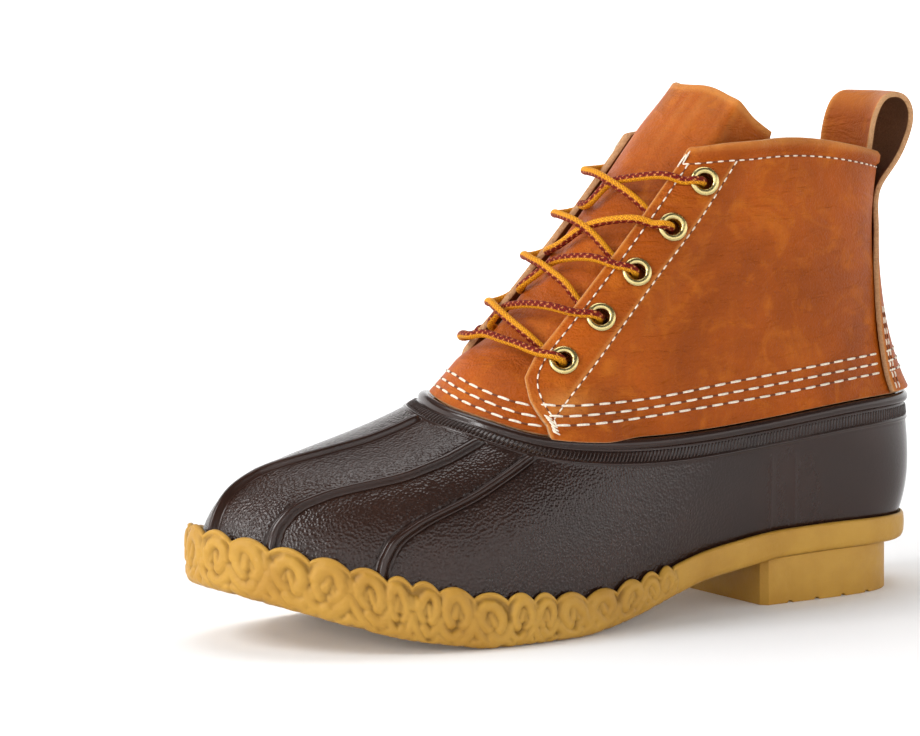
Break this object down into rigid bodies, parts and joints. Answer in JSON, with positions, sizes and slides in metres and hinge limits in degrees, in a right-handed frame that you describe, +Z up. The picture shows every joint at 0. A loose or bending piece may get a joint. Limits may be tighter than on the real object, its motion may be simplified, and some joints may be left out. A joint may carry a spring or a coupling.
{
  "type": "duck boot",
  "caption": "Left lace-up duck boot: moulded rubber bottom with a chain tread sole, sewn to a leather upper with a tongue, eyelets, laces and a pull loop.",
  "frame": {"origin": "on the floor, under the middle of the heel block", "axes": "+X towards the toe, +Y towards the outer side of this left boot, +Z up"},
  "size_m": [0.299, 0.1086, 0.1923],
  "materials": {
    "sole_rubber": "matte moulded tan rubber",
    "shell_rubber": "pebbled dark brown moulded rubber",
    "leather": "orange-tan pull-up leather, semi-matte",
    "footbed": "matte woven footbed",
    "brass": "polished brass",
    "lace": "round braided cord, gold with a maroon tracer"
  },
  "bodies": {
    "root": {"outsole": "sole_rubber", "heel": "sole_rubber", "insole": "footbed", "rubber_shell": "shell_rubber", "upper": "leather", "tongue": "leather", "backstay_loop": "leather", "eyelet_lateral_1": "brass", "eyelet_lateral_2": "brass", "eyelet_lateral_3": "brass", "eyelet_lateral_4": "brass", "eyelet_lateral_5": "brass", "eyelet_medial_1": "brass", "eyelet_medial_2": "brass", "eyelet_medial_3": "brass", "eyelet_medial_4": "brass", "eyelet_medial_5": "brass", "lace_cross_1": "lace", "lace_cross_2": "lace", "lace_cross_3": "lace", "lace_cross_4": "lace", "lace_bar": "lace"}
  },
  "joints": []
}
